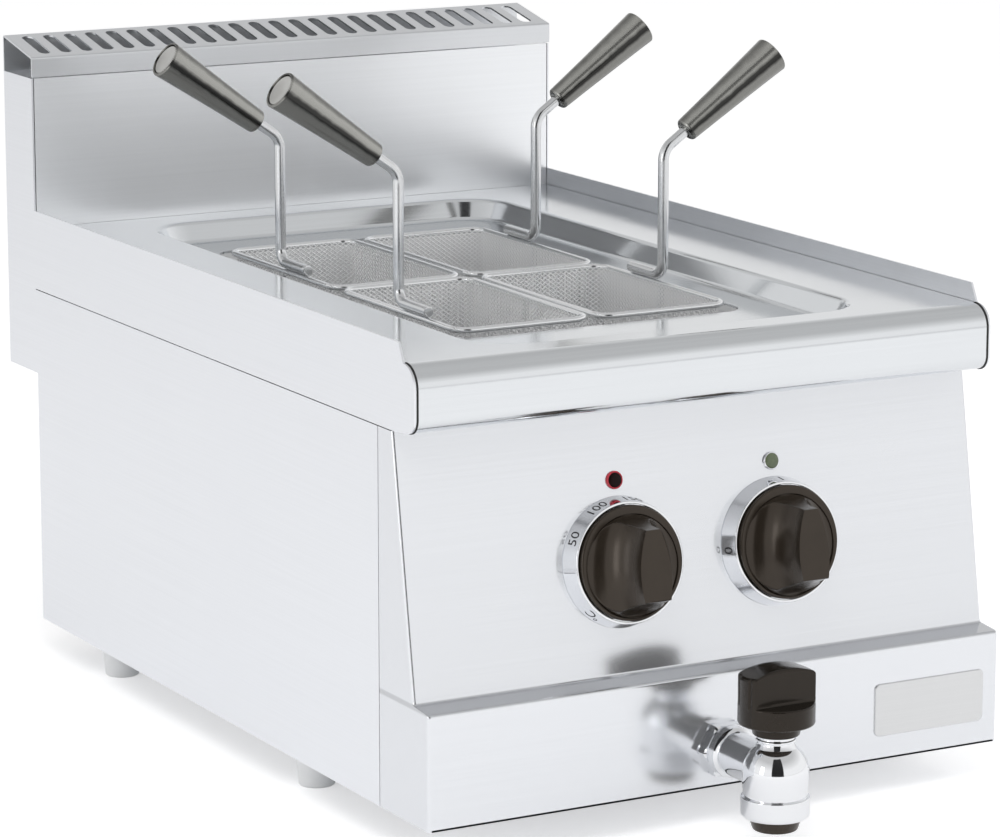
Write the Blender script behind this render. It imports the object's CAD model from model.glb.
# Countertop pasta cooker: the looks of every piece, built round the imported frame.
# The sections follow the object as it is put together, from the base pan up to the baskets.

import math

import bmesh
import bpy
import numpy as np
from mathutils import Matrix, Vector


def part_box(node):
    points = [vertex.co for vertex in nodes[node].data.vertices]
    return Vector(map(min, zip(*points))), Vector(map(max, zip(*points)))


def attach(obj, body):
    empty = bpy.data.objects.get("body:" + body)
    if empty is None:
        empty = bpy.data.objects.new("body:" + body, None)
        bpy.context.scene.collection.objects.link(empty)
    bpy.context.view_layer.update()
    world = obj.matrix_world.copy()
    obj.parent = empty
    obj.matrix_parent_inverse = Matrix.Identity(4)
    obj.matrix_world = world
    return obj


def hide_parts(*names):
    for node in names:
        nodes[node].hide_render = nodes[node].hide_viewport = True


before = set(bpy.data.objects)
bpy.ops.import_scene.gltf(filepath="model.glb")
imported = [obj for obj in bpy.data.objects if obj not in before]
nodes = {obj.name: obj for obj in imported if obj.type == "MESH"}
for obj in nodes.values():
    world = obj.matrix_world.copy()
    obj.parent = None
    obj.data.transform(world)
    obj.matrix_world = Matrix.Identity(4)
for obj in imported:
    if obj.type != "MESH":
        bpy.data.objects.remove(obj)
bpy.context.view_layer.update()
MM = 0.001


# Housing sheets: base pan, side panels and rear panel, folded from stainless sheet and held by screws.
# The satin grain of the sides runs level round the housing. The pan and the rear panel are plainer, as they
# are seldom seen.

def shader_socket(finish, name):
    """One socket of a finish's own shader."""
    return finish.node_tree.nodes["Principled BSDF"].inputs[name]


def new_finish(name, colour, metallic, roughness):
    """A surface with one colour, metallic value and roughness on the shader's own sockets."""
    finish = bpy.data.materials.new(name)
    finish.use_nodes = True
    shader_socket(finish, "Base Color").default_value = (*colour, 1)
    shader_socket(finish, "Metallic").default_value = metallic
    shader_socket(finish, "Roughness").default_value = roughness
    return finish


def shader_node(tree, kind, inputs, **settings):
    """Adds a shader node with its settings. An input is fed by another node's output or holds a value."""
    made = tree.nodes.new("ShaderNode" + kind)
    for setting, value in settings.items():
        setattr(made, setting, value)
    for name, value in inputs.items():
        if isinstance(value, bpy.types.NodeSocket):
            tree.links.new(value, made.inputs[name])
        else:
            made.inputs[name].default_value = value
    return made


def feed(finish, name, output):
    """Links a node's output to one socket of a finish's own shader."""
    finish.node_tree.links.new(output, shader_socket(finish, name))


def grain(finish, cells, detail=3):
    """Noise on object coordinates, with so many cells per metre: one number, or one each along x, y and z."""
    tree = finish.node_tree
    place = shader_node(tree, "TexCoord", {}).outputs["Object"]
    scale = np.broadcast_to(cells, 3).tolist()
    stretch = shader_node(tree, "Mapping", {"Vector": place, "Scale": scale}).outputs["Vector"]
    return shader_node(tree, "TexNoise", {"Vector": stretch, "Scale": 1, "Detail": detail}).outputs["Fac"]


def colour_ramp(tree, pattern, stops):
    """Colours by a pattern's value. Each stop is a place from 0 to 1 and a colour, in rising order."""
    ramp = shader_node(tree, "ValToRGB", {"Fac": pattern})
    marks = ramp.color_ramp.elements
    for place, colour in stops[1:-1]:
        marks.new(place).color = (*colour, 1)
    for end in (0, -1):
        marks[end].position = stops[end][0]
        marks[end].color = (*stops[end][1], 1)
    return ramp.outputs["Color"]


def vary(finish, socket, pattern, low, high):
    """Lets the middle of a pattern carry a socket from low to high: numbers by a range, colours by a ramp."""
    tree = finish.node_tree
    start, end = 0.2, 0.8
    if isinstance(low, tuple):
        feed(finish, socket, colour_ramp(tree, pattern, ((start, low), (end, high))))
        return
    span = {"Value": pattern, "From Min": start, "From Max": end, "To Min": low, "To Max": high}
    feed(finish, socket, shader_node(tree, "MapRange", span).outputs["Result"])


def relief(finish, pattern, depth):
    """Raises a pattern by so many metres, as a bump."""
    bump = shader_node(finish.node_tree, "Bump", {"Strength": 1, "Distance": depth, "Height": pattern})
    feed(finish, "Normal", bump.outputs["Normal"])


def grained(name, colour, metallic, smooth, rough, cells, detail=3):
    """A finish whose roughness wanders from smooth to rough, in so many cells per metre."""
    finish = new_finish(name, colour, metallic, (smooth + rough) / 2)
    vary(finish, "Roughness", grain(finish, cells, detail), smooth, rough)
    return finish


def satin_steel(name, tone, smooth, rough, along, depth=0.000006, metallic=1):
    """Satin sheet: long streaks along one axis move the tone and a shallow bump, and broad clouds move the
    roughness."""
    cloud_cells, streak_cells, long_cells, darker, lighter = 14, 900, 5, 0.98, 1.017
    finish = grained(name, tone, metallic, smooth, rough, cloud_cells, 4)
    lines = grain(finish, [long_cells if axis == along else streak_cells for axis in "xyz"])
    vary(finish, "Base Color", lines, *(tuple(share * part for part in tone) for share in (darker, lighter)))
    relief(finish, lines, depth)
    return finish


def wear(finish, *names):
    """Gives CAD nodes a finish through their material slots."""
    for name in names:
        for slot in nodes[name].material_slots:
            slot.material = finish


side_steel = satin_steel("satin_side_steel", (0.87, 0.885, 0.915), 0.29, 0.36, "y")
rear_steel = satin_steel("plain_rear_steel", (0.66, 0.67, 0.69), 0.34, 0.42, "x")
wear(side_steel, "left_side_panel", "right_side_panel")
wear(rear_steel, "base_pan", "rear_panel")


# Feet: four tapered feet of moulded pale plastic under the base pan, each held by a screw from inside.
# A foot is turned from a profile with a rounded sole and a shallow groove under its head.

def arc(across, up, radius, start, end, steps=8):
    """Points (steps + 1, 2) on a circle from start to end, in degrees."""
    turn = np.radians(np.linspace(start, end, steps + 1))
    return np.stack([across + radius * np.cos(turn), up + radius * np.sin(turn)], -1)


def skin(points, around=False, along=False):
    """Faces a grid of points (rows, columns, 3) with quads. Around joins the last column to the first, and
    along the last row to the first."""
    rows, columns = points.shape[:2]
    index = np.arange(rows * columns).reshape(rows, columns)
    if around:
        index = np.hstack([index, index[:, :1]])
    if along:
        index = np.vstack([index, index[:1]])
    faces = np.stack([index[:-1, :-1], index[:-1, 1:], index[1:, 1:], index[1:, :-1]], -1)
    return points.reshape(-1, 3), faces.reshape(-1, 4)


def turned(profile, foot, axis=(0, 0, 1), steps=72, closed=False):
    """Turns a profile of (radius, height) in mm about an axis from foot:
    point = foot + height * axis + radius * (cos a * side + sin a * other)."""
    axis = np.array(axis, float) / np.linalg.norm(axis)
    hint = np.array([1.0, 0, 0]) if abs(axis[0]) < 0.9 else np.array([0, 0, 1.0])
    side = np.cross(axis, hint)
    side /= np.linalg.norm(side)
    other = np.cross(axis, side)
    turn = np.linspace(0, 2 * math.pi, steps, endpoint=False)
    spoke = np.cos(turn)[:, None] * side + np.sin(turn)[:, None] * other
    profile = np.array(profile, float) * MM
    points = np.array(foot) + profile[:, None, 1:] * axis + profile[:, None, :1] * spoke
    return skin(points, around=True, along=closed)


def make_piece(name, shells, finish, body, stands_for=(), crease=32, thick=0, inside=None,
               weld=True):
    """Joins shells of (points, quads) into one mesh, welds their seams and poles, turns the faces outward,
    and gives the piece its finish and its body. An open sheet names a point inside it and its thickness in
    mm."""
    starts = np.cumsum([0] + [len(points) for points, faces in shells])
    points = np.vstack([points for points, faces in shells])
    faces = np.vstack([faces + start for (rest, faces), start in zip(shells, starts)])
    mesh = bpy.data.meshes.new(name)
    mesh.from_pydata(points.tolist(), [], faces.tolist())
    if weld:
        work = bmesh.new()
        work.from_mesh(mesh)
        bmesh.ops.remove_doubles(work, verts=work.verts, dist=2e-6)
        bmesh.ops.recalc_face_normals(work, faces=work.faces)
        if inside is not None:
            facing = sum(face.normal.dot(face.calc_center_median() - Vector(inside)) * face.calc_area()
                         for face in work.faces)
            if facing < 0:
                bmesh.ops.reverse_faces(work, faces=work.faces)
        work.to_mesh(mesh)
        work.free()
    mesh.materials.append(finish)
    piece = bpy.data.objects.new(name, mesh)
    bpy.context.scene.collection.objects.link(piece)
    if thick:
        sheet = piece.modifiers.new("thickness", "SOLIDIFY")
        sheet.thickness = thick * MM
        sheet.offset = -1
        sheet.use_even_offset = True
        mesh = bpy.data.meshes.new_from_object(piece.evaluated_get(bpy.context.evaluated_depsgraph_get()))
        piece.modifiers.clear()
        piece.data = mesh
    mesh.shade_smooth()
    if weld:
        mesh.set_sharp_from_angle(angle=math.radians(crease))
        flats = piece.modifiers.new("flat_faces_stay_flat", "WEIGHTED_NORMAL")
        flats.keep_sharp = True
    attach(piece, body)
    if stands_for:
        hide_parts(*stands_for)
    return piece


foot_grey = grained("foot_plastic", (0.94, 0.95, 0.955), 0, 0.38, 0.5, 300)
relief(foot_grey, grain(foot_grey, 2500, 2), 0.00002)
sole_r, sole_round, head_round = 11.5, 1.5, 0.8
head_groove = np.array([[0.9, 6.5], [1.5, 5.9], [1.5, 5.0], [0.6, 4.4]])
for corner in ("front_left", "front_right", "rear_left", "rear_right"):
    low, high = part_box(corner + "_foot")
    head_r, rise = (high[0] - low[0]) / 2 / MM, (high[2] - low[2]) / MM
    foot_profile = np.vstack([
        [[0, 0]], arc(sole_r - sole_round, sole_round, sole_round, -90, -10), [head_r, rise] - head_groove,
        arc(head_r - head_round, rise - head_round, head_round, 0, 90), [[0, rise]]])
    foot_place = ((low[0] + high[0]) / 2, (low[1] + high[1]) / 2, low[2])
    make_piece(corner + "_foot_moulding", [turned(foot_profile, foot_place)], foot_grey, "cabinet",
               [corner + "_foot"])


# Front sheet: one satin steel sheet folded into the low strip, the ledge and the leaning control panel, with
# a cheek at each end. Its profile is carried round a plan shaped like a U with small corner bends.

def spread(x, y, z):
    """Points (..., 3) from three sets of coordinates, each stretched to their common shape."""
    return np.stack(np.broadcast_arrays(x, y, z), -1)


def filleted(corners, radius, steps=6):
    """A path (n, 2) through corner points whose inner corners become arcs: each arc is tangent to both legs,
    its centre on the bisector."""
    path = [np.array(corners[0], float)[None]]
    for before, corner, after in zip(corners[:-2], corners[1:-1], corners[2:]):
        corner = np.array(corner, float)
        into = (corner - before) / np.linalg.norm(corner - before)
        out = (np.array(after) - corner) / np.linalg.norm(np.array(after) - corner)
        bend = math.acos(np.clip(into @ out, -1, 1))
        share = np.linspace(0, bend, steps + 1)
        side = (out - into * (into @ out)) / math.sin(bend)
        start = corner - into * radius * math.tan(bend / 2)
        path.append(start + radius * (np.sin(share)[:, None] * into + (1 - np.cos(share))[:, None] * side))
    path.append(np.array(corners[-1], float)[None])
    return np.vstack(path)


def dull_band(finish, height, near, far, share):
    """Multiplies the tone by a share within a near distance of one height, fading out to a far distance."""
    tree = finish.node_tree
    tone = shader_socket(finish, "Base Color").links[0].from_socket
    place = shader_node(tree, "TexCoord", {}).outputs["Object"]
    level = shader_node(tree, "SeparateXYZ", {0: place}).outputs["Z"]
    offset = shader_node(tree, "Math", {0: level, 1: height}, operation="SUBTRACT").outputs[0]
    away = shader_node(tree, "Math", {0: offset}, operation="ABSOLUTE").outputs[0]
    span = {"Value": away, "From Min": near, "From Max": far, "To Min": share, "To Max": 1}
    fade = shader_node(tree, "MapRange", span).outputs["Result"]
    dull = shader_node(tree, "VectorMath", {0: tone, 1: fade}, operation="MULTIPLY")
    feed(finish, "Base Color", dull.outputs[0])


low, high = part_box("front_panel")
sheet_t, bend_r = 1.2, 2.2
strip_h, ledge_d, ledge_rise = 70.5, 18, 1.7
lean = math.radians(9.3)
band_near, band_far, band_share = 0.95, 2.2, 0.74
housing_mid_z = 0.15
strip_y, strip_low, panel_top = low[1], low[2], high[2]
ledge_y, ledge_z = strip_y + ledge_d * MM, strip_low + (strip_h + ledge_rise) * MM
front_profile = filleted([
    (strip_y, strip_low), (strip_y, strip_low + strip_h * MM), (ledge_y, ledge_z),
    (ledge_y + (panel_top - ledge_z) * math.tan(lean), panel_top)], bend_r * MM)
corner_turn = np.linspace(0, math.pi / 2, 7)
corner_x = -high[0] + bend_r * MM * (1 - np.cos(corner_turn))
corner_y = bend_r * MM * (1 - np.sin(corner_turn))
plan_x = np.concatenate([[-high[0]], corner_x, -corner_x[::-1], [high[0]]])
plan_y = np.concatenate([[0], corner_y, corner_y[::-1], [0]])
front_grid = spread(plan_x[None], front_profile[:, :1] + plan_y[None], front_profile[:, 1:])
front_grid[:, [0, -1], 1] = high[1]
fold_half = high[0] - bend_r * MM
foot_fold = spread(np.array([[-fold_half, fold_half]]), np.array([[strip_y], [high[1]]]), strip_low)
front_steel = satin_steel("satin_front_steel", (0.81, 0.825, 0.855), 0.13, 0.19, "x", 0.000003, 0.8)
dull_band(front_steel, ledge_z - ledge_rise / 2 * MM, band_near * MM, band_far * MM, band_share)
make_piece("front_sheet", [skin(front_grid)], front_steel, "cabinet", ["front_panel"],
           thick=sheet_t, inside=(0, high[1], housing_mid_z))
make_piece("front_sheet_fold", [skin(foot_fold)], front_steel, "cabinet", (),
           thick=sheet_t, inside=(0, 0, housing_mid_z))


# Blank plate: the small pressed steel plate stuck to the strip, left bare.
# A rounded rectangle carried up in steps, drawn in at the top by its bevel and closed at its middle.

def rounded_rectangle(width, length, radius, steps=12):
    """Points and outward directions (n, 2) round a rectangle: each corner's centre plus radius times
    direction."""
    turn = np.linspace(0, math.pi / 2, steps + 1)
    angle = (turn[None] + np.arange(4)[:, None] * math.pi / 2).ravel()
    way = np.stack([np.cos(angle), np.sin(angle)], -1)
    centre = np.array([[1, 1], [-1, 1], [-1, -1], [1, -1]]) * [width / 2 - radius, length / 2 - radius]
    return np.repeat(centre, steps + 1, axis=0) + radius * way, way


low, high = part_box("blank_plate")
plate_w, plate_t, plate_h = ((end - start) / MM for start, end in zip(low, high))
plate_corner, plate_bevel, plate_border, plate_slope, plate_sunk = 3.5, 0.5, 1.6, 0.8, 0.25
plate_edge, plate_way = rounded_rectangle(plate_w, plate_h, plate_corner)
plate_steps = np.vstack([
    [[0, 0]], arc(-plate_bevel, plate_t - plate_bevel, plate_bevel, 0, 90, 3),
    [[-plate_border, plate_t], [-plate_border - plate_slope, plate_t - plate_sunk]]])
plate_rows = plate_edge[None] + plate_steps[:, None, :1] * plate_way[None]
plate_middle = np.zeros_like(plate_rows[:1])
plate_flat = np.concatenate([plate_middle, plate_rows, plate_middle])
plate_rise = np.concatenate([[0], plate_steps[:, 1], [plate_t - plate_sunk]])[:, None]
plate_grid = spread((low[0] + high[0]) / 2 + plate_flat[..., 0] * MM, high[1] - plate_rise * MM,
                    (low[2] + high[2]) / 2 + plate_flat[..., 1] * MM)
plate_steel = satin_steel("blank_plate_steel", (0.70, 0.705, 0.71), 0.29, 0.38, "x", 0.00001)
make_piece("blank_plate_pressing", [skin(plate_grid, around=True)], plate_steel, "cabinet", ["blank_plate"],
           crease=40)


# Worktop: a deck pressed from steel sheet, with a rolled front edge, a rubber seal at each of its ends,
# and a shallow recess round the tank's mouth. The recess wall, an S of two arcs, is carried round a rounded
# rectangle, and the deck, the recess floor and the rolled edge go on from it.

def out_to_edges(points, ways, low, high):
    """Carries points (n, 2) along their outward ways to the edges of a rectangle, by the lesser of room / way
    in its two directions, and then moves the point nearest to each corner onto it."""
    room = np.where(ways > 0, high - points, points - low) / np.maximum(np.abs(ways), 1e-9)
    reached = points + room.min(1)[:, None] * ways
    for corner in (high, (low[0], high[1]), low, (high[0], low[1])):
        reached[np.argmin(np.linalg.norm(reached - corner, axis=1))] = corner
    return reached


low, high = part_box("worktop")
deck_z, deck_w, deck_rear, nose_y, lip_z = high[2], high[0], high[1], low[1], low[2]
nose_r, roll_r, lip_run, deck_t = 14 * MM, 9.5 * MM, 24 * MM, 1.5
deck_front = nose_y + nose_r
mouth_y = sum(corner[1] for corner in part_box("tank")) / 2
mouth_w, mouth_l, mouth_corner = 204, 354, 15
recess_w, recess_l, recess_corner, recess_off = 268, 489, 35, 23
recess_depth, recess_r, recess_angle, recess_edge_run, recess_steps = 14, 4, 64, 0.6, 24
touching = 1e-7
recess_y = mouth_y - recess_off * MM
recess_turn = math.radians(recess_angle)
wall_top = recess_r * math.tan(recess_turn / 2)
wall_run = (recess_depth - 2 * recess_r * (1 - math.cos(recess_turn))) / math.tan(recess_turn)
wall_low = wall_top - wall_run - 2 * recess_r * math.sin(recess_turn)
recess_wall = np.vstack([
    [[wall_top + recess_edge_run, 0]], arc(wall_top, -recess_r, recess_r, 90, 90 + recess_angle, 12),
    arc(wall_low, recess_r - recess_depth, recess_r, recess_angle - 90, -90, 12),
    [[wall_low - recess_edge_run, -recess_depth]]])
recess_edge, recess_way = rounded_rectangle(recess_w, recess_l, recess_corner, recess_steps)
wall_flat = recess_edge[None] + recess_wall[:, None, :1] * recess_way[None]
wall_grid = spread(wall_flat[..., 0] * MM, recess_y + wall_flat[..., 1] * MM,
                   deck_z + recess_wall[:, 1:] * MM)
mouth_edge = rounded_rectangle(mouth_w, mouth_l, mouth_corner, recess_steps)[0]
mouth_ring = spread(mouth_edge[:, 0] * MM, mouth_y + mouth_edge[:, 1] * MM, deck_z - recess_depth * MM)
deck_edge = wall_grid[0].copy()
deck_edge[:, :2] = out_to_edges(deck_edge[:, :2], recess_way, (-deck_w, deck_front), (deck_w, deck_rear))
deck_grid = np.concatenate([deck_edge[None], wall_grid, mouth_ring[None]])


def nose_curve(proud=0):
    """Section of the rolled edge: a quarter circle from the deck down, and a tighter one under to the lip."""
    return np.vstack([arc(deck_front, deck_z - nose_r, nose_r + proud, 90, 180, 20),
                      arc(nose_y + roll_r, lip_z + roll_r, roll_r + proud, 180, 270, 16)])


nose_profile = np.vstack([nose_curve(), [[nose_y + lip_run, lip_z]]])
nose_x = np.sort(deck_edge[np.abs(deck_edge[:, 1] - deck_front) < touching, 0])
nose_grid = spread(nose_x[None], nose_profile[:, :1], nose_profile[:, 1:])
deck_steel = satin_steel("satin_deck_steel", (0.74, 0.76, 0.78), 0.11, 0.18, "x")
make_piece("worktop_pressing", [skin(deck_grid, around=True), skin(nose_grid)], deck_steel, "cabinet",
           ["worktop"], crease=40, thick=deck_t, inside=(0, 0, 0))
wear(side_steel, "left_skirt", "right_skirt")

seal_rubber = grained("nose_seal_rubber", (0.012, 0.012, 0.012), 0, 0.5, 0.7, 400)
seal_proud, seal_deep, seal_in, seal_over, seal_out = 0.5 * MM, 5 * MM, 1.6 * MM, 0.5 * MM, 0.45 * MM
seal_line = nose_curve(seal_proud)
seal_back = seal_line + [seal_deep, 0]
seal_back[:, 1] = np.clip(seal_back[:, 1], lip_z + seal_in, deck_z - seal_in)
for side, end in (("left", -1), ("right", 1)):
    seal_edges = ((seal_line, -seal_over), (seal_line, seal_out), (seal_back, seal_out),
                  (seal_back, -seal_over))
    seal_grid = np.array([spread(end * (deck_w + step), line[:, 0], line[:, 1]) for line, step in seal_edges])
    seal_caps = [skin(seal_grid[[[0, 1], [3, 2]], column]) for column in (0, -1)]
    make_piece(side + "_nose_seal", [skin(seal_grid, along=True)] + seal_caps, seal_rubber, "cabinet",
               inside=(0, 0, 0))


# Tank, heating tube and the other inside pieces.
# Plain stainless inside the tank, a dark sheathed heating tube, and plain metal, ceramic and plastic for the
# pieces inside the housing.

tank_steel = satin_steel("plain_tank_steel", (0.93, 0.935, 0.94), 0.3, 0.4, "z", metallic=0.5)
sheath = grained("heater_sheath", (0.30, 0.29, 0.28), 1, 0.36, 0.5, 60, 5)
vary(sheath, "Base Color", grain(sheath, 60, 5), (0.22, 0.20, 0.19), (0.40, 0.38, 0.36))
brass = grained("brass", (0.78, 0.60, 0.30), 1, 0.29, 0.4, 200)
copper = grained("copper", (0.80, 0.45, 0.32), 1, 0.29, 0.42, 200)
ceramic = new_finish("ceramic", (0.80, 0.78, 0.73), 0, 0.5)
vary(ceramic, "Base Color", grain(ceramic, 120, 4), (0.76, 0.73, 0.68), (0.83, 0.81, 0.77))
case_plastic = grained("case_plastic", (0.06, 0.06, 0.065), 0, 0.4, 0.55, 400, 2)
zinc = grained("zinc_screw", (0.66, 0.67, 0.68), 1, 0.29, 0.4, 500)
wear(tank_steel, "tank", "support_tray", "drain_pipe")
wear(sheath, "heating_tube")
wear(brass, "heating_tube_glands", "tap_plug")
wear(copper, "thermostat_bulb")
wear(case_plastic, "thermostat_body", "switch_body", "heat_lamp_body", "power_lamp_body")
wear(zinc, "thermostat_spindle", "switch_spindle", "foot_screws")
wear(ceramic, "terminal_block")


# Drain tap: chromed brass nut and ball body at the end of the drain pipe, with a dark plastic outlet end and
# turning handle. Nut and handle are carried up from an outline round the axis; body and outlet are turned.

chrome = grained("chrome", (0.84, 0.85, 0.87), 1, 0.045, 0.085, 120, 4)
warm_sheen = (1, 0.88, 0.78, 1)
dark_plastic = grained("dark_plastic", (0.022, 0.017, 0.0125), 0, 0.18, 0.25, 500)
shader_socket(dark_plastic, "Specular Tint").default_value = warm_sheen
vary(dark_plastic, "Base Color", grain(dark_plastic, 60, 4), (0.019, 0.0145, 0.0105), (0.026, 0.020, 0.0145))
relief(dark_plastic, grain(dark_plastic, 1800, 2), 0.000004)

low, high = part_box("tap_lock_nut")
nut_y, nut_t, drain_z = high[1], (high[1] - low[1]) / MM, (low[2] + high[2]) / 2
nut_half, nut_crown, nut_bevel, nut_bore, nut_seat = 15.5, 16.05, 1.1, 10.5, 14
nut_turn = np.linspace(0, 2 * math.pi, 96, endpoint=False)
nut_flat = nut_half / np.cos((nut_turn % (math.pi / 3)) - math.pi / 6)
nut_top = np.minimum(nut_flat, nut_crown)
nut_grid = np.stack([
    spread(radius * np.cos(nut_turn) * MM, nut_y - out * MM, drain_z + radius * np.sin(nut_turn) * MM)
    for radius, out in ((nut_bore, 0), (nut_top, 0), (nut_flat, nut_bevel), (nut_flat, nut_t - nut_bevel),
                        (nut_top, nut_t), (nut_seat, nut_t), (nut_bore, nut_t))])
make_piece("tap_hexagon_nut", [skin(nut_grid, around=True, along=True)], chrome, "cabinet", ["tap_lock_nut"],
           crease=18)

handle_low, handle_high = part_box("tap_handle")
tap_y = (handle_low[1] + handle_high[1]) / 2
tap_foot = (0, tap_y, drain_z)
ball_r, waist_r, skirt_r, neck_r, bore_r, plug_r = 20.0, 19.0, 20.6, 11.0, 6.5, 8.2
waist_z, skirt_low, plug_low, bead_z, neck_top = -13.6, -27.0, -20, 20.3, 23
skirt_round, waist_edge, bead_r, seat_gap = 2.4, 0.7, 0.9, 0.1
meet = math.degrees(math.acos(neck_r / ball_r))
bulge_z = np.linspace(waist_z, 0, 8)[:-1]
skirt_foot = skirt_low + seat_gap
body_profile = np.vstack([
    [[bore_r, skirt_foot], [skirt_r - 3, skirt_foot]],
    arc(skirt_r - skirt_round, skirt_foot + skirt_round, skirt_round, -90, 0),
    arc(skirt_r - waist_edge, waist_z - 1.1, waist_edge, 0, 80), [[waist_r + 0.2, waist_z - 0.25]],
    np.stack([ball_r - (ball_r - waist_r) * (bulge_z / waist_z) ** 2, bulge_z], -1),
    arc(0, 0, ball_r, 0, meet - 4, 24), [[neck_r + 0.35, ball_r * math.sin(math.radians(meet)) + 0.9]],
    [[neck_r, bead_z - 1.9], [neck_r, bead_z - 1.1]], arc(neck_r + 0.2, bead_z, bead_r, -90, 90),
    [[neck_r, bead_z + 1.3], [neck_r, neck_top], [plug_r, neck_top], [plug_r, plug_low], [bore_r, plug_low]]])
inlet_start, inlet_end = 4, (nut_y - nut_t * MM - tap_y) / MM
inlet_bore, inlet_r, collar_r = 9, 13.65, 15.65
inlet_profile = [
    (inlet_bore, inlet_start), (inlet_r, inlet_start), (inlet_r, inlet_end - 8.5),
    (inlet_r + 0.55, inlet_end - 7.6), (collar_r, inlet_end - 6.6), (collar_r, inlet_end - 0.8),
    (collar_r - 0.65, inlet_end - seat_gap), (inlet_bore, inlet_end - seat_gap)]
make_piece("tap_ball_body", [turned(body_profile, tap_foot, closed=True, steps=96),
                             turned(inlet_profile, tap_foot, (0, 1, 0), closed=True, steps=96)],
           chrome, "cabinet", ["tap_body"], crease=30)
outlet_r, outlet_low, outlet_edge = 15.8, -34.6, 1.0
outlet_profile = np.vstack([
    [[bore_r, skirt_low - seat_gap], [outlet_r, skirt_low - seat_gap], [outlet_r - 2, outlet_low + 1.2]],
    arc(outlet_r - 3.2, outlet_low + outlet_edge, outlet_edge, 0, -90), [[bore_r, outlet_low]]])
make_piece("tap_outlet_end", [turned(outlet_profile, tap_foot, closed=True, steps=96)], dark_plastic,
           "cabinet", ["tap_outlet"])

handle_plastic = grained("handle_plastic", (0.010, 0.008, 0.006), 0, 0.14, 0.2, 500)
shader_socket(handle_plastic, "Specular IOR Level").default_value = 0.38
shader_socket(handle_plastic, "Specular Tint").default_value = warm_sheen
vary(handle_plastic, "Base Color", grain(handle_plastic, 60, 4), (0.008, 0.0065, 0.005),
     (0.013, 0.0105, 0.008))
handle_turn = np.linspace(0, 2 * math.pi, 480, endpoint=False)
handle_r, handle_half, shoulder_z, end_z, crown_z, arch_r = 23.0, 10.0, 43.0, 60.0, 65.0, 55.4
shoulder_round, end_round, groove_depth, groove_spread = 1.2, 1.6, 0.7, 1.9


def handle_outline(width, radius, soft=0.3):
    """Radius round the axis of a round blank cut by two flats: the smaller of the blank's radius and
    width / |sin a|, blended so that the corners are rounded."""
    flats = width / np.maximum(np.abs(np.sin(handle_turn)), 1e-3)
    blend = np.clip(0.5 + 0.5 * (flats - radius) / soft, 0, 1)
    return flats * (1 - blend) + radius * blend - soft * blend * (1 - blend)


bar = handle_outline(handle_half, handle_r)
for groove in (-15, 15, 165, 195):
    away = (np.degrees(handle_turn) - groove + 180) % 360 - 180
    bar = bar - groove_depth * np.exp(-(away / groove_spread) ** 2)
shoulder = np.maximum(bar, handle_r - shoulder_round)
hub_profile = ((0, 23.3), (13.4, 23.3), (14, 23.9), (15, 29.2), (15.4, 29.8), (handle_r - 1.5, 30),
               (handle_r - 0.5, 30.5), (handle_r, 31.5), (handle_r, shoulder_z - shoulder_round))
handle_rows = [(radius, level, 0) for radius, level in hub_profile]
handle_rows += [
    (np.maximum(bar, handle_r - 0.35), shoulder_z - 0.35, 0), (shoulder, shoulder_z, 0),
    (np.minimum(shoulder, bar + 0.9), shoulder_z, 0), (np.minimum(shoulder, bar + 0.3), shoulder_z + 0.3, 0),
    (np.minimum(shoulder, bar), shoulder_z + 0.9, 0), (bar, shoulder_z + 2.2, 0), (bar, end_z - 2, 0.9)]
handle_rows += [(bar - end_round * (1 - math.cos(angle)), end_z - end_round * (1 - math.sin(angle)), 1)
                for angle in np.radians((20, 45, 70, 90))]
handle_rows += [(share * (bar - end_round), end_z, 1) for share in (0.85, 0.6, 0.35, 0.1, 0)]
handle_grid = []
for radius, level, arched in handle_rows:
    across, deep = radius * np.cos(handle_turn), radius * np.sin(handle_turn)
    rise = np.sqrt(arch_r ** 2 - across ** 2) - arch_r + (crown_z - end_z)
    handle_grid.append(spread(across * MM, tap_y + deep * MM, drain_z + (level + arched * rise) * MM))
make_piece("tap_turning_handle", [skin(np.array(handle_grid), around=True)], handle_plastic, "tap_lever",
           ["tap_handle"], crease=50)


# Dials: two chromed rings with printed marks, and the two dark plastic knobs on the spindles inside them.
# A knob has a round base with a rim, and a tall bar between two finger hollows; the bar's sides are bowed and
# its ends slope down to the rim.

panel_right = np.array([1.0, 0, 0])
panel_up = np.array([0, math.sin(lean), math.cos(lean)])
panel_out = np.array([0, -math.cos(lean), math.sin(lean)])
panel_axes = np.stack([panel_right, panel_up, panel_out])


def on_panel(node, up):
    """Place on the panel in line with the middle of a CAD node, so many mm up from the ledge."""
    low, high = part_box(node)
    return np.array([(low[0] + high[0]) / 2, ledge_y, ledge_z]) + panel_up * up * MM


knob_r, knob_back, knob_rim_z, knob_front, knob_round = 34.5, 9.0, 15.0, 42.0, 1.2
hollow_r, hollow_drop, hollow_z = 31.0, -1.8, 14.1
bar_half, bar_taper, bar_bow_r, bar_top, bar_foot = 10.0, 0.105, 70.0, 21.0, -21.6
bar_edge_r, cone_edge_r, cone_slope = 0.9, 1.5, 4.0


def soft_least(one, other, reach):
    """The lower of two surfaces, with the ridge where they meet rounded over a height of about reach."""
    near = np.maximum(reach - np.abs(one - other), 0)
    return np.minimum(one, other) - near ** 2 / (4 * reach)


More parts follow.
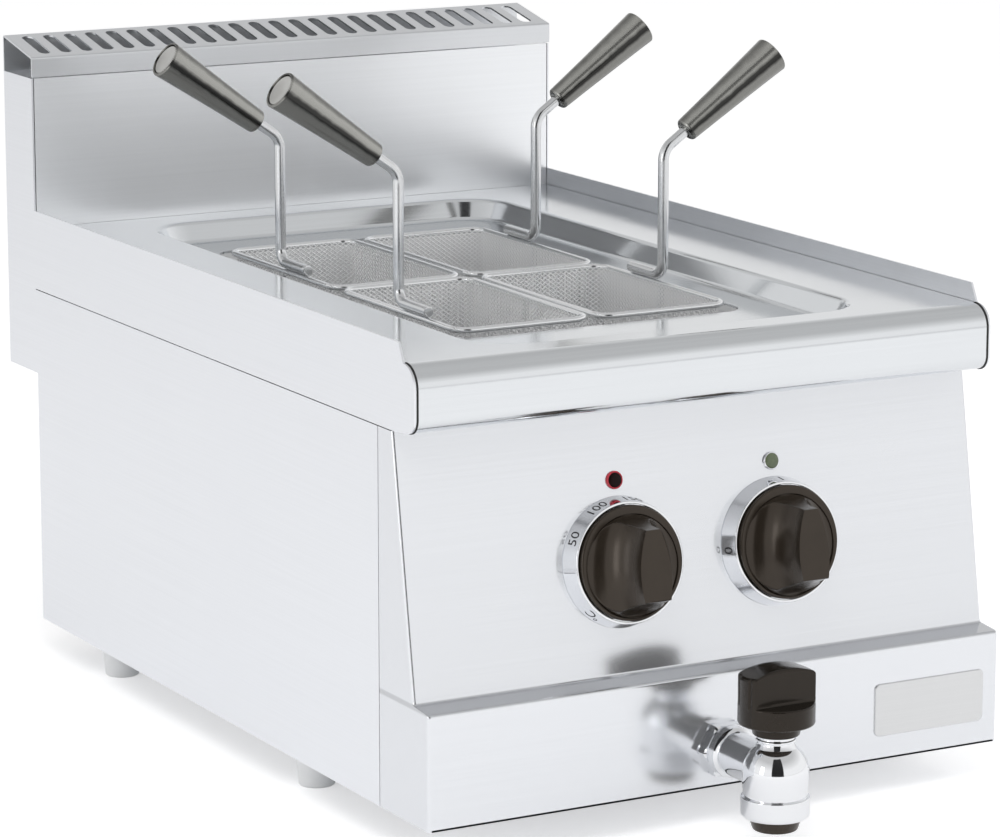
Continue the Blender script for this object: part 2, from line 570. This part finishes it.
def knob_front_grid():
    """Front of a knob inside its rim, as points across, up and out in mm; each row runs from rim to rim. Its
    height is the least of four surfaces, softly joined: the bar's face, which past its ends falls as the
    square of the way left; a steep cone down to the rim; and a scoop either side of the bowed bar, a quarter
    of an ellipse that is upright at the bar and level at the rim."""
    rows, bar_columns, scoop_columns, scoop_bunching, bar_most = 181, 15, 47, 1.7, 0.94
    up = hollow_drop + hollow_r * np.cos(np.linspace(0, math.pi, rows))
    half = np.sqrt(np.maximum(hollow_r ** 2 - (up - hollow_drop) ** 2, 0))
    edge = np.minimum(bar_half - bar_taper * up - up ** 2 / (2 * bar_bow_r), bar_most * half)
    bow = np.linspace(0, 1, scoop_columns)[1:] ** scoop_bunching
    across = np.hstack([edge[:, None] * np.linspace(0, 1, bar_columns),
                        edge[:, None] + (half - edge)[:, None] * bow])
    tall = np.broadcast_to(up[:, None], across.shape)
    rise = knob_front - hollow_z
    past = np.maximum((tall - bar_top) / (up[0] - bar_top), (bar_foot - tall) / (bar_foot - up[-1]))
    face_out = hollow_z + rise * (1 - np.clip(past, 0, 1)) ** 2
    cone_out = hollow_z + cone_slope * (hollow_r - np.hypot(across, tall - hollow_drop))
    into = np.clip((across - edge[:, None]) / (hollow_r - bar_half), 0, 1)
    scoop_out = knob_front - rise * np.sqrt(1 - (1 - into) ** 2)
    out = soft_least(soft_least(face_out, scoop_out, bar_edge_r), cone_out, cone_edge_r)
    out = np.maximum(out, hollow_z)
    across = np.hstack([-across[:, :0:-1], across])
    out = np.hstack([out[:, :0:-1], out])
    return spread(across, up[:, None], out)


def dial_knob(name, place, finish, body, node):
    """Builds a knob: its front inside the rim, then rings from the hollow's edge over the rim and its rounded
    outer edge, down the side and to the middle of the back."""
    front = knob_front_grid()
    loop = np.vstack([front[:, 0], front[-2:0:-1, -1]])
    angle = np.arctan2(loop[:, 0], loop[:, 1] - hollow_drop)
    way = np.stack([np.sin(angle), np.cos(angle)], -1)
    rings = [(hollow_r, hollow_drop, hollow_z), (hollow_r + 0.06, hollow_drop, knob_rim_z - 0.3),
             (hollow_r + 0.36, hollow_drop, knob_rim_z)]
    rings += [(radius, 0, out) for radius, out in arc(
        knob_r - knob_round, knob_rim_z - knob_round, knob_round, 90, 0, 6)]
    rings += [(knob_r, 0, knob_back + 0.8), (knob_r - 0.8, 0, knob_back), (0, 0, knob_back)]
    sides = np.stack([spread(radius * way[:, 0], radius * way[:, 1] + drop, out)
                      for radius, drop, out in rings])
    shells = [skin(place + MM * front @ panel_axes), skin(place + MM * sides @ panel_axes, around=True)]
    make_piece(name, shells, finish, body, [node], crease=62)


ring_foot_r, ring_front_r, ring_h, ring_bore, ring_back, spindle_bore = 39.5, 36.5, 12.0, 35.1, 1.5, 5.3
ring_edge, bore_edge, panel_gap = 0.5, 0.35, 0.05
ring_profile = np.vstack([
    [[spindle_bore, panel_gap], [ring_foot_r - ring_edge, panel_gap], [ring_foot_r, ring_edge]],
    [[ring_front_r + 0.25, ring_h - 0.7]], arc(ring_front_r - 0.3, ring_h - ring_edge, ring_edge, 10, 90),
    arc(ring_bore + bore_edge, ring_h - bore_edge, bore_edge, 90, 180),
    [[ring_bore, ring_back], [spindle_bore, ring_back]]])
ink = grained("dial_ink", (0.012, 0.012, 0.013), 0, 0.42, 0.6, 900, 2)
mark_size, mark_rise, mark_off, dial_up = 9.6, 0.04, 0.3, 67.5


def on_dial(place, spoke, turn, height):
    """Points at a distance from a dial's axis, an angle anticlockwise from its top and a height, in mm."""
    return place + MM * spread(-spoke * np.sin(turn), spoke * np.cos(turn), height) @ panel_axes


def dial_mark(name, words, place, angle):
    """Printed mark on a ring's cone: across its letters it runs clockwise round the ring and up them it runs
    out along the cone. Angle is counted anticlockwise from the top, in degrees."""
    letters = bpy.data.curves.new(name, "FONT")
    letters.body = words
    letters.size = mark_size
    letters.align_x = "CENTER"
    letters.align_y = "CENTER"
    letters.extrude = mark_rise
    letters.resolution_u = 3
    block = bpy.data.objects.new(name, letters)
    bpy.context.scene.collection.objects.link(block)
    bpy.context.view_layer.update()
    mesh = bpy.data.meshes.new_from_object(block)
    bpy.data.objects.remove(block)
    flat = np.empty(len(mesh.vertices) * 3)
    mesh.vertices.foreach_get("co", flat)
    flat = flat.reshape(-1, 3)
    fall = np.array([ring_foot_r - ring_front_r, -ring_h]) / math.hypot(ring_foot_r - ring_front_r, ring_h)
    mid_r, mid_h = (ring_foot_r + ring_front_r) / 2, ring_h / 2 + mark_off
    lift = flat[:, 2] + mark_rise
    spoke = mid_r + flat[:, 1] * fall[0] - lift * fall[1]
    height = mid_h + flat[:, 1] * fall[1] + lift * fall[0]
    points = on_dial(place, spoke, math.radians(angle) - flat[:, 0] / mid_r, height)
    mesh.vertices.foreach_set("co", points.ravel())
    mesh.update()
    mesh.materials.clear()
    mesh.materials.append(ink)
    mark = bpy.data.objects.new(name, mesh)
    bpy.context.scene.collection.objects.link(mark)
    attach(mark, "cabinet")


dial_marks = {"thermostat": (("50", "50", 62), ("100", "100", 26), ("150", "150", -12), ("unit", "°C", 140)),
              "switch": (("0", "0", 92), ("1", "1", -4))}
for dial, marks in dial_marks.items():
    dial_place = on_panel(dial + "_ring", dial_up)
    make_piece(dial + "_dial_ring", [turned(ring_profile, dial_place, panel_out, 144, closed=True)], chrome,
               "cabinet", [dial + "_ring"], crease=30)
    dial_knob(dial + "_turning_knob", dial_place, dark_plastic, dial + "_dial", dial + "_knob")
    for key, words, angle in marks:
        dial_mark(dial + "_mark_" + key, words, dial_place, angle)


def capped(rings):
    """Closes both ends of a tube of rings (rows, columns, 3), by rows of points at its end rings' middles."""
    first, last = (np.broadcast_to(rings[end].mean(0), rings[:1].shape) for end in (0, -1))
    return np.concatenate([first, rings, last])


tick_at, tick_half, tick_rise = 93, 0.16, 0.05
tick_turn = math.radians(tick_at) + np.array([-tick_half, tick_half, tick_half, -tick_half]) / ring_foot_r
tick_lift = np.array([tick_rise, tick_rise, -tick_rise, -tick_rise])
tick_spoke = np.array([[ring_foot_r - 0.05], [ring_front_r + 0.45]]) + tick_lift
tick_height = np.array([[1.2], [ring_h - 1.4]])
tick_grid = on_dial(on_panel("thermostat_ring", dial_up), tick_spoke, tick_turn, tick_height)
make_piece("thermostat_mark_tick", [skin(capped(tick_grid), around=True)], ink, "cabinet")


# Pilot lamps: the heat lamp with a red rim round a dark lens, and the green power lamp with a chromed rim.
# Each is a turned rim with a domed plastic lens standing in it, set in a hole of the panel.

red_lens = new_finish("red_lens", (0.50, 0.03, 0.05), 0, 0.2)
vary(red_lens, "Base Color", grain(red_lens, 500, 2), (0.42, 0.022, 0.035), (0.58, 0.045, 0.07))
red_dark = grained("red_lens_heart", (0.010, 0.003, 0.003), 0, 0.29, 0.36, 800, 2)
shader_socket(red_dark, "Specular IOR Level").default_value = 0.12
green_lens = new_finish("green_lens", (0.12, 0.15, 0.085), 0, 0.16)
vary(green_lens, "Base Color", grain(green_lens, 500, 2), (0.09, 0.12, 0.065), (0.15, 0.18, 0.11))
pilot_up, pilot_r, pilot_rim, pilot_round, dome_foot, dome_h = 116.5, 5.5, 1.5, 0.7, 1.1, 1.4
pilot_looks = {"heat_lamp": (red_lens, red_dark, "red_lens", 4.6),
               "power_lamp": (chrome, green_lens, "green_lens", 4.8)}
dome = np.radians(np.linspace(0, 90, 12))
for pilot, (rim_finish, lens_finish, pilot_slot, lens_r) in pilot_looks.items():
    pilot_place = on_panel(pilot + "_lens", pilot_up)
    rim_profile = np.vstack([
        [[lens_r - 0.4, panel_gap], [pilot_r, panel_gap]],
        arc(pilot_r - pilot_round, pilot_rim - pilot_round, pilot_round, 0, 90),
        [[lens_r + 0.1, pilot_rim], [lens_r - 0.4, pilot_rim - 0.5]]])
    make_piece(pilot + "_rim", [turned(rim_profile, pilot_place, panel_out, 64, closed=True)], rim_finish,
               "cabinet", ())
    dome_r = lens_r - 0.1
    lens_profile = np.vstack([
        [[0, 0.3], [dome_r, 0.3]], np.stack([dome_r * np.cos(dome), dome_foot + dome_h * np.sin(dome)], -1)])
    make_piece(pilot + "_dome", [turned(lens_profile, pilot_place, panel_out, 64)], lens_finish, "cabinet",
               [pilot + "_lens"], crease=60)


# Upstand: the flue box behind the deck, its splash panel and its slotted cap, all of satin steel sheet, and
# the cable gland on the rear. The cap is one bent sheet: each slot is a loop of two half circles joined to
# its own cell of the sloping top, and the front lip and the back go on from the cells with rounded bends.

upstand_steel = satin_steel("satin_upstand_steel", (0.90, 0.915, 0.935), 0.285, 0.35, "x")
cap_steel = satin_steel("satin_cap_steel", (0.73, 0.745, 0.765), 0.285, 0.35, "x")
wear(side_steel, "upstand_shell")
wear(upstand_steel, "splash_panel")
wear(zinc, "rear_screws")
wear(case_plastic, "cable_gland")

low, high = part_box("vent_cap")
cap_half, lip_y, cap_back_y, cap_low, cap_back_z = high[0], low[1], high[1], low[2], high[2]
lip_top, lip_reveal, cap_bend_r, bend_in = cap_low + 14.3 * MM, 0.9 * MM, 1.6 * MM, 2.2 * MM
slot_w, slot_l, slot_margin, slot_count = 8.2 * MM, 37 * MM, 14 * MM, 25
lip_corner = np.array([lip_y, lip_top])
slope_way = np.array([cap_back_y, cap_back_z]) - lip_corner
slope_l = np.linalg.norm(slope_way)
slope_way /= slope_l
slot_turn = np.radians(np.linspace(0, 180, 13))
slot_turn = np.concatenate([slot_turn, slot_turn + math.pi])
slot_way = np.stack([np.cos(slot_turn), np.sin(slot_turn)], -1)
half_straight = (slot_l - slot_w) / 2
slot_hub = np.stack([0 * slot_turn, np.repeat([half_straight, -half_straight], 13)], -1)
slot_pitch = (2 * cap_half - 2 * slot_margin) / (slot_count - 1)
cell_half_l = slope_l / 2 - bend_in
cells = []
for number in range(slot_count):
    left = slot_pitch / 2 if number else slot_margin
    right = slot_pitch / 2 if number < slot_count - 1 else slot_margin
    border = out_to_edges(slot_hub, slot_way, (-left, -cell_half_l), (right, cell_half_l))
    flat = np.stack([slot_hub + slot_w / 2 * slot_way, border])
    along_slope = slope_l / 2 + flat[..., 1]
    cells.append(skin(spread(
        flat[..., 0] - cap_half + slot_margin + number * slot_pitch,
        lip_y + along_slope * slope_way[0], lip_top + along_slope * slope_way[1]), around=True))
cell_points = np.vstack([points for points, faces in cells])
front_edge, rear_edge = lip_corner + bend_in * slope_way, lip_corner + (slope_l - bend_in) * slope_way
lip_line = filleted([(lip_y, cap_low + lip_reveal), (lip_y, lip_top), tuple(front_edge)], cap_bend_r)
back_line = filleted([tuple(rear_edge), (cap_back_y, cap_back_z), (cap_back_y, cap_low)], cap_bend_r)
strips = []
for edge, line in ((front_edge, lip_line), (rear_edge, back_line)):
    strip_x = np.unique(cell_points[np.abs(cell_points[:, 1] - edge[0]) < touching, 0].round(7))
    strips.append(skin(spread(strip_x[None], line[:, :1], line[:, 1:])))
make_piece("slotted_vent_cap", cells + strips, cap_steel, "cabinet", ["vent_cap"],
           thick=sheet_t, inside=(0, (lip_y + cap_back_y) / 2, cap_low - 0.3), crease=40)


# Baskets: four lift-out baskets of woven stainless wire, each with a rim wire, a strap, a bent handle rod and
# a tapered plastic grip. The weave is two families of slanting wires on the wall's developed surface, each
# passing over and under the other.

def wire(path, radius, steps=16, loop=False):
    """Tube round a path (n, 3) in metres: at each point a ring of radius mm square to the path, closed at its
    ends by a rounded edge and a flat face."""
    way = np.roll(path, -1, 0) - np.roll(path, 1, 0) if loop else np.gradient(path, axis=0)
    way /= np.linalg.norm(way, axis=1)[:, None]
    hint = np.array([0.31, -0.57, 0.11])
    side = np.cross(way, hint)
    side /= np.linalg.norm(side, axis=1)[:, None]
    other = np.cross(way, side)
    turn = np.linspace(0, 2 * math.pi, steps, endpoint=False)
    ring = np.cos(turn)[None, :, None] * side[:, None] + np.sin(turn)[None, :, None] * other[:, None]
    if loop:
        return skin(path[:, None] + radius * MM * ring, around=True, along=True)
    ends = np.array([[0, 0], [0, 0.8], [0.06, 0.94], [0.2, 1.0]])
    first = path[0] + radius * MM * (ends[:, None, :1] * way[0] + ends[:, None, 1:] * ring[0])
    last = path[-1] + radius * MM * (-ends[::-1, None, :1] * way[-1] + ends[::-1, None, 1:] * ring[-1])
    return skin(np.concatenate([first, path[1:-1, None] + radius * MM * ring[1:-1], last]), around=True)


bright_wire = grained("bright_wire", (0.83, 0.84, 0.85), 1, 0.15, 0.24, 300)
bright_rod = grained("bright_rod", (0.70, 0.71, 0.72), 1, 0.15, 0.24, 300)
mesh_steel = grained("mesh_steel", (0.97, 0.975, 0.98), 0.05, 0.3, 0.4, 150)
grip_plastic = grained("grip_plastic", (0.23, 0.228, 0.214), 0.75, 0.13, 0.18, 700, 2)
grip_map, grip_waver, grip_tint = "round_the_grip", 0.08, np.array([1, 0.995, 0.935])
grip_tones = ((0.05, 0.05), (0.12, 0.25), (0.38, 0.22), (0.47, 0.03), (0.58, 0.04), (0.67, 0.34),
              (0.86, 0.40), (0.96, 0.18), (1.0, 0.10))
grip_tree = grip_plastic.node_tree
grip_uv = shader_node(grip_tree, "UVMap", {}, uv_map=grip_map).outputs["UV"]
grip_level = shader_node(grip_tree, "SeparateXYZ", {0: grip_uv}).outputs["X"]
grip_wavering = {0: grain(grip_plastic, 160, 2), 1: grip_waver, 2: grip_level}
grip_round = shader_node(grip_tree, "Math", grip_wavering, operation="MULTIPLY_ADD").outputs[0]
grip_stops = [(place, tone * grip_tint) for place, tone in grip_tones]
feed(grip_plastic, "Base Color", colour_ramp(grip_tree, grip_round, grip_stops))
grip_cup = grained("grip_cup_plastic", (0.48, 0.478, 0.46), 0.6, 0.16, 0.22, 700, 2)
vary(grip_cup, "Base Color", grain(grip_cup, 90), (0.42, 0.418, 0.40), (0.55, 0.548, 0.53))

rim_w, rim_l, rim_corner, rim_wire_r = 92.0, 159.0, 11.0, 2.0
wall_w, wall_l, wall_corner, wall_t = 86.7, 153.7, 8.35, 1.0
weave_across, weave_up, weave_r, fillet_r, floor_pitch, floor_over = 116, 2.9, 0.44, 6.85, 3.3, 0.4
wall_lift, floor_lift = 0.5 * weave_r, 0.4 * weave_r
strap_half, strap_t, strap_w, strap_edge, strap_bend_r = 45.0, 1.5, 5.5, 0.35, 6.0
rod_x, rod_r, rod_foot, rod_bend, rod_rise, rod_turn_r = 46.0, 3.5, 40.0, 9.0, 75.0, 13.0
rod_turn = math.radians(55)
rod_lift = rim_wire_r + rod_r + 0.15
grip_l, grip_near, grip_far, rod_bare, rod_tang = 80.0, 8.0, 12.28, 12.5, 48.0
near_round, far_round, cup_r = 2.4, 1.1, grip_far - 2.4


def wall_surface(around, down, depth):
    """Point and outward direction on a basket's wall: around runs along its rounded plan, down along its
    profile, which is straight and then turns in to the floor by a fillet."""
    straight_w, straight_l = wall_w - 2 * wall_corner, wall_l - 2 * wall_corner
    bend = wall_corner * math.pi / 2
    legs = np.cumsum([0, straight_l, bend, straight_w, bend, straight_l, bend, straight_w, bend])
    around = around % legs[-1]
    angle = np.interp(around, legs, np.array([0, 0, 1, 1, 2, 2, 3, 3, 4]) * math.pi / 2)
    centre_x = np.interp(around, legs, straight_w / 2 * np.array([1, 1, 1, -1, -1, -1, -1, 1, 1]))
    centre_y = np.interp(around, legs, straight_l / 2 * np.array([-1, 1, 1, 1, 1, -1, -1, -1, -1]))
    turn_in = np.clip((down - depth) / fillet_r, 0, math.pi / 2)
    reach = wall_corner - fillet_r * (1 - np.cos(turn_in))
    drop = np.minimum(down, depth) + fillet_r * np.sin(turn_in)
    point = spread(centre_x + reach * np.cos(angle), centre_y + reach * np.sin(angle), -drop)
    face = spread(np.cos(angle) * np.cos(turn_in), np.sin(angle) * np.cos(turn_in), -np.sin(turn_in))
    return point, face


def wire_skins(tubes):
    """Faces the rings of many wires at once (wires, rings, sides, 3) with quads round each wire."""
    index = np.arange(tubes[..., 0].size).reshape(tubes.shape[:3])
    index = np.concatenate([index, index[..., :1]], -1)
    faces = np.stack([index[:, :-1, :-1], index[:, :-1, 1:], index[:, 1:, 1:], index[:, 1:, :-1]], -1)
    return tubes.reshape(-1, 3), faces.reshape(-1, 4)


def woven_wall(depth):
    """Both families of wall wires. Wire i at crossing k stands at around = i * pitch +- k * pitch / 2 and
    down = k * weave_up / 2, lifted in or out by turns; each has three-sided rings."""
    length = 2 * (wall_w + wall_l - 4 * wall_corner) + 2 * math.pi * wall_corner
    pitch = length / weave_across
    count = int((depth + fillet_r * math.pi / 2) / (weave_up / 2))
    k, i = np.arange(count + 1)[None], np.arange(weave_across)[:, None]
    turn = np.radians((90, 210, 330))[:, None]
    shells = []
    for lean_way in (1, -1):
        point, face = wall_surface(i * pitch + lean_way * k * pitch / 2, k * weave_up / 2, depth)
        lift = wall_lift * lean_way * np.where(k % 2 == 0, 1, -1)
        centre = point + lift[..., None] * face
        way = np.gradient(centre, axis=1)
        way /= np.linalg.norm(way, axis=-1)[..., None]
        side = np.cross(face, way)
        ring = np.cos(turn) * side[..., None, :] + np.sin(turn) * face[..., None, :]
        shells.append(wire_skins(centre[..., None, :] + weave_r * ring))
    return shells


def woven_floor(depth):
    """Both families of floor wires: straight lines u +- v = c cut off at the floor's edges, each a four-sided
    bar."""
    half_w, half_l = wall_w / 2 - fillet_r + floor_over, wall_l / 2 - fillet_r + floor_over
    level = -(depth + fillet_r)
    lines = np.arange(-(half_w + half_l) + 2, half_w + half_l - 1, floor_pitch)
    u = np.stack([np.maximum(-half_w, lines - half_l), np.minimum(half_w, lines + half_l)], -1)
    turn = np.radians((45, 135, 225, 315))[:, None]
    up = np.array([0, 0, 1.0])
    shells = []
    for lean_way in (1, -1):
        side = np.cross(up, np.array([1, -lean_way, 0]) / math.sqrt(2))
        ring = weave_r * (np.cos(turn) * side + np.sin(turn) * up)
        centre = spread(u, lean_way * (lines[:, None] - u), level + lean_way * floor_lift)
        shells.append(wire_skins(centre[:, :, None] + ring))
    return shells


def basket_rod():
    """Centre line of a handle rod in mm: foot along the rim, bend up, stem, bend outward, and the tang in the
    grip. Also gives the end of the last bend and the way on from it."""
    foot = spread(rod_x, np.linspace(rod_foot, rod_bend, 9), rod_lift)
    turn = np.radians(np.linspace(0, 90, 11))[1:]
    knee = spread(rod_x, rod_bend - rod_bend * np.sin(turn), rod_lift + rod_bend * (1 - np.cos(turn)))
    stem = spread(rod_x, 0, np.linspace(rod_lift + rod_bend + 4, rod_lift + rod_rise - 1, 8))
    turn = np.linspace(0, rod_turn, 12)
    neck = spread(rod_x + rod_turn_r * (1 - np.cos(turn)), 0, rod_lift + rod_rise + rod_turn_r * np.sin(turn))
    way = np.array([math.sin(rod_turn), 0, math.cos(rod_turn)])
    tang = neck[-1] + np.linspace(1.5, rod_bare + rod_tang, 8)[:, None] * way
    return np.vstack([foot, knee, stem, neck, tang]), neck[-1], way


def basket_strap(drop):
    """Flat strap from rim to rim under the floor: a bevelled section carried along a U of that drop."""
    corners = [(strap_half, 0), (strap_half, -drop), (-strap_half, -drop), (-strap_half, 0)]
    line = filleted(corners, strap_bend_r)
    step = np.gradient(line, axis=0)
    face = np.stack([-step[:, 1], step[:, 0]], -1)
    face /= np.linalg.norm(face, axis=1)[:, None]
    side, out = strap_w / 2, strap_t / 2
    quarter = np.array([[side, out - strap_edge], [side - strap_edge, out]])
    half = np.vstack([quarter, quarter[::-1] * [-1, 1]])
    cut = np.vstack([half, -half])
    return capped(spread(line[:, None, 0] + cut[:, 1] * face[:, None, 0], cut[:, 0],
                         line[:, None, 1] + cut[:, 1] * face[:, None, 1]))


def map_round(grip, foot, way, upper, shift):
    """Gives a grip its UV map: u rises from its underside to its upper side, as half the cosine of the angle
    between plus a half and a shift, and v runs along its length."""
    spots = np.empty(len(grip.data.vertices) * 3)
    grip.data.vertices.foreach_get("co", spots)
    spots = spots.reshape(-1, 3) - foot
    ahead = spots @ way
    spokes = spots - ahead[:, None] * way
    level = 0.5 + 0.5 * (spokes @ upper) / np.maximum(np.linalg.norm(spokes, axis=1), 1e-6) + shift
    corners = np.empty(len(grip.data.loops), int)
    grip.data.loops.foreach_get("vertex_index", corners)
    layer = grip.data.uv_layers.new(name=grip_map)
    layer.uv.foreach_set("vector", np.stack([level, ahead / (grip_l * MM)], -1)[corners].ravel())


rim_edge = rounded_rectangle(rim_w, rim_l, rim_corner, 10)[0]
rim_path = spread(rim_edge[:, 0], rim_edge[:, 1], 0)
rod_path, rod_end, rod_way = basket_rod()
along = np.linspace(0, 1, 30)
swell = grip_near + (grip_far - grip_near) * along ** 1.15
grip_profile = np.vstack([
    [[0, 0.6], [rod_r - 0.3, 0.6], [rod_r + 1.2, 0]],
    arc(grip_near - near_round, near_round, near_round, -90, -8),
    np.stack([swell, grip_l * along], -1)[2:-3],
    arc(grip_far - far_round, grip_l - far_round, far_round, 4, 90),
    [[grip_far - 1.5, grip_l - 0.3], [grip_far - 1.6, grip_l - 2.6], [grip_far - 2.3, grip_l - 2.6],
     [0, grip_l - 4.2]]])
dish = np.radians(np.linspace(0, 90, 14))
cup_profile = np.vstack([
    [[0, grip_l - 4.0], [cup_r, grip_l - 2.4], [cup_r + 0.2, grip_l - 1.1]],
    np.stack([cup_r * np.cos(dish), grip_l - 0.9 - 1.7 * np.sin(dish) ** 1.5], -1)])
grip_shift = {"left": 0.05, "right": -0.08}
for basket in ("front_left", "front_right", "rear_left", "rear_right"):
    body = basket + "_basket"
    side = basket.split("_")[1]
    facing = np.array([-1, -1, 1]) if side == "left" else np.array([1, 1, 1])
    low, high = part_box(body + "_rim")
    mesh_low, mesh_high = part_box(body + "_mesh")
    rim_z = high[2] - rim_wire_r * MM
    middle = np.array([(mesh_low[0] + mesh_high[0]) / 2, (mesh_low[1] + mesh_high[1]) / 2, rim_z])

    def seat(points):
        """Basket millimetres, from the rim's middle, to the row frame; left baskets are turned half round."""
        return middle + points * facing * MM

    depth = (rim_z - mesh_low[2]) / MM - wall_t / 2 - fillet_r
    weave = [(seat(points), faces) for points, faces in woven_wall(depth) + woven_floor(depth)]
    make_piece(body + "_weave", weave, mesh_steel, body, [body + "_mesh"], crease=180,
               weld=False)
    strap = basket_strap((rim_z - low[2]) / MM - strap_t / 2)
    make_piece(body + "_rim_wire", [wire(seat(rim_path), rim_wire_r, 20, loop=True),
                                    skin(seat(strap), around=True)],
               bright_wire, body, [body + "_rim"])
    make_piece(body + "_handle_rod", [wire(seat(rod_path), rod_r, 28)], bright_rod, body, [body + "_rod"],
               crease=40)
    grip_foot = seat(rod_end + rod_bare * rod_way)
    grip_way = rod_way * facing
    grip = make_piece(body + "_moulded_grip", [turned(grip_profile, grip_foot, grip_way)], grip_plastic, body,
                      [body + "_grip"], crease=45)
    grip_upper = np.array([-math.cos(rod_turn), 0, math.sin(rod_turn)]) * facing
    map_round(grip, grip_foot, grip_way, grip_upper, grip_shift[side])
    make_piece(body + "_grip_cup", [turned(cup_profile, grip_foot, grip_way)], grip_cup, body, (),
               crease=45)


# Stage: a pale floor that keeps the cooker's soft shadow, studio lamps, white surroundings and the camera.
# The surroundings are white to the camera, and in reflections greyer upward and to the back, with one black
# card at the front that only reflections see.

scene = bpy.context.scene
bpy.ops.mesh.primitive_plane_add(size=60)
floor = bpy.context.object
floor.name = "studio_floor"
floor_white = new_finish("studio_floor_white", (0.92, 0.92, 0.925), 0, 0.9)
shader_socket(floor_white, "Specular IOR Level").default_value = 0
shader_socket(floor_white, "Emission Color").default_value = (1, 1, 1, 1)
floor.data.materials.append(floor_white)

seen_lift, mirrored_lift = 0.40, 0.20
floor_tree = floor_white.node_tree
floor_rays = shader_node(floor_tree, "LightPath", {}).outputs
to_eye = {0: floor_rays["Is Camera Ray"], 1: seen_lift}
lift_seen = shader_node(floor_tree, "Math", to_eye, operation="MULTIPLY").outputs[0]
to_metal = {0: floor_rays["Is Glossy Ray"], 1: mirrored_lift, 2: lift_seen}
lift_both = shader_node(floor_tree, "Math", to_metal, operation="MULTIPLY_ADD").outputs[0]
feed(floor_white, "Emission Strength", lift_both)

world = bpy.data.worlds.new("studio")
scene.world = world
world.use_nodes = True
sky_tree = world.node_tree
sky_tree.nodes.clear()


def sky(strength, colour=(1, 1, 1, 1)):
    """One background shader of the world."""
    return shader_node(sky_tree, "Background", {"Color": colour, "Strength": strength}).outputs[0]


def sky_fade(direction, start, end, dim):
    """A ramp from white at start to a dim grey at end, along one direction."""
    return colour_ramp(sky_tree, direction, ((start, (1, 1, 1)), (end, (dim, dim, dim))))


fill_strength = 0.62
sky_place = shader_node(sky_tree, "TexCoord", {}).outputs["Generated"]
sky_way = shader_node(sky_tree, "SeparateXYZ", {0: sky_place}).outputs
upward, backward = sky_fade(sky_way["Z"], 0.3, 0.7, 0.6), sky_fade(sky_way["Y"], 0.1, 0.75, 0.86)
sky_fades = {"Factor": 1, "A": upward, "B": backward}
sky_tone = shader_node(sky_tree, "Mix", sky_fades, data_type="RGBA", blend_type="MULTIPLY").outputs["Result"]
sky_rays = shader_node(sky_tree, "LightPath", {}).outputs
in_mirror = {"Fac": sky_rays["Is Glossy Ray"], 1: sky(fill_strength), 2: sky(1, sky_tone)}
unseen = shader_node(sky_tree, "MixShader", in_mirror).outputs[0]
to_camera = {"Fac": sky_rays["Is Camera Ray"], 1: unseen, 2: sky(1)}
seen = shader_node(sky_tree, "MixShader", to_camera).outputs[0]
shader_node(sky_tree, "OutputWorld", {"Surface": seen})

flag_black = new_finish("flag_black", (0.012, 0.012, 0.013), 0, 0.9)


def flag(name, start, end, distance, height):
    """Upright black card that only reflections see, round the cooker from start to end, in degrees left of
    front."""
    turn = np.radians(np.linspace(start, end, 9))
    levels = np.array([[0.01], [height]])
    points, faces = skin(spread(-distance * np.sin(turn), -distance * np.cos(turn), levels))
    card = bpy.data.meshes.new(name)
    card.from_pydata(points.tolist(), [], faces.tolist())
    card.materials.append(flag_black)
    holder = bpy.data.objects.new(name, card)
    scene.collection.objects.link(holder)
    holder.visible_camera = False
    holder.visible_diffuse = False
    holder.visible_shadow = False
    holder.visible_transmission = False


def lamp(name, place, aim, width, height, watts, mirrored=False):
    """Soft area lamp at a place, aimed at a point, and seen in reflections or not."""
    light = bpy.data.lights.new(name, "AREA")
    light.shape = "RECTANGLE"
    light.size = width
    light.size_y = height
    light.energy = watts
    holder = bpy.data.objects.new(name, light)
    holder.location = place
    holder.rotation_euler = (Vector(aim) - Vector(place)).to_track_quat("-Z", "Y").to_euler()
    holder.visible_glossy = mirrored
    scene.collection.objects.link(holder)


flag("front_flag", 40, 4, 2.2, 3.2)
lamp("key_lamp", (-1.2, -1.6, 2.6), (0, 0, 0.2), 1.6, 1.6, 26)
lamp("fill_lamp", (2.2, -1.4, 1.8), (0, 0, 0.2), 1.8, 1.8, 16)
lamp("side_lamp", (-2.1, -0.65, 0.55), (0, -0.25, 0.2), 0.5, 0.9, 2.8, mirrored=True)

eye = Vector((-1.3454, -2.42795, 0.7893))
look = Vector((0.4726, 0.8565, -0.2076))
camera_data = bpy.data.cameras.new("photo_camera")
camera_data.lens = 158.32
camera_data.sensor_width = 36
camera = bpy.data.objects.new("photo_camera", camera_data)
camera.location = eye
camera.rotation_euler = look.to_track_quat("-Z", "Y").to_euler()
scene.collection.objects.link(camera)
scene.camera = camera
scene.view_settings.view_transform = "Standard"
